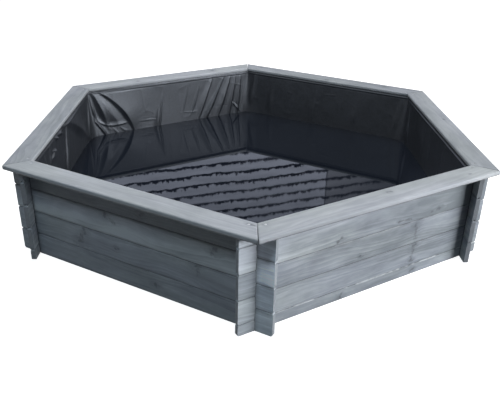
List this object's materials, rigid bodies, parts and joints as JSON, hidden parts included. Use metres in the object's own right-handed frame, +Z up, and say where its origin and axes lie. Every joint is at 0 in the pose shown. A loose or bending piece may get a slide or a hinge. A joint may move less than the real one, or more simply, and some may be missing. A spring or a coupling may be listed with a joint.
{
  "type": "sandbox basin",
  "caption": "Six-sided timber garden basin of stacked, corner-notched boards with a flat mitred rim and a loose black film liner.",
  "frame": {"origin": "centre of the hexagon, on the ground under the lowest boards", "axes": "+Z up, +Y towards the far corner along the longest diagonal, +X square to the right wall"},
  "size_m": [1.7328, 1.9994, 0.363],
  "materials": {
    "wall_timber": "grey stain, planed, weathered",
    "rim_timber": "grey stain, planed, weathered",
    "film": "glossy black film, creased",
    "screw_steel": "zinc plated, dulled"
  },
  "bodies": {
    "root": {"front_right_board_1": "wall_timber", "front_right_board_2": "wall_timber", "front_right_board_3": "wall_timber", "front_right_board_4": "wall_timber", "front_right_board_5": "wall_timber", "right_board_1": "wall_timber", "right_board_2": "wall_timber", "right_board_3": "wall_timber", "right_board_4": "wall_timber", "back_right_board_1": "wall_timber", "back_right_board_2": "wall_timber", "back_right_board_3": "wall_timber", "back_right_board_4": "wall_timber", "back_right_board_5": "wall_timber", "back_left_board_1": "wall_timber", "back_left_board_2": "wall_timber", "back_left_board_3": "wall_timber", "back_left_board_4": "wall_timber", "left_board_1": "wall_timber", "left_board_2": "wall_timber", "left_board_3": "wall_timber", "left_board_4": "wall_timber", "left_board_5": "wall_timber", "front_left_board_1": "wall_timber", "front_left_board_2": "wall_timber", "front_left_board_3": "wall_timber", "front_left_board_4": "wall_timber", "front_right_rim_board": "rim_timber", "right_rim_board": "rim_timber", "back_right_rim_board": "rim_timber", "back_left_rim_board": "rim_timber", "left_rim_board": "rim_timber", "front_left_rim_board": "rim_timber", "liner": "film", "rim_screws": "screw_steel"}
  },
  "joints": []
}
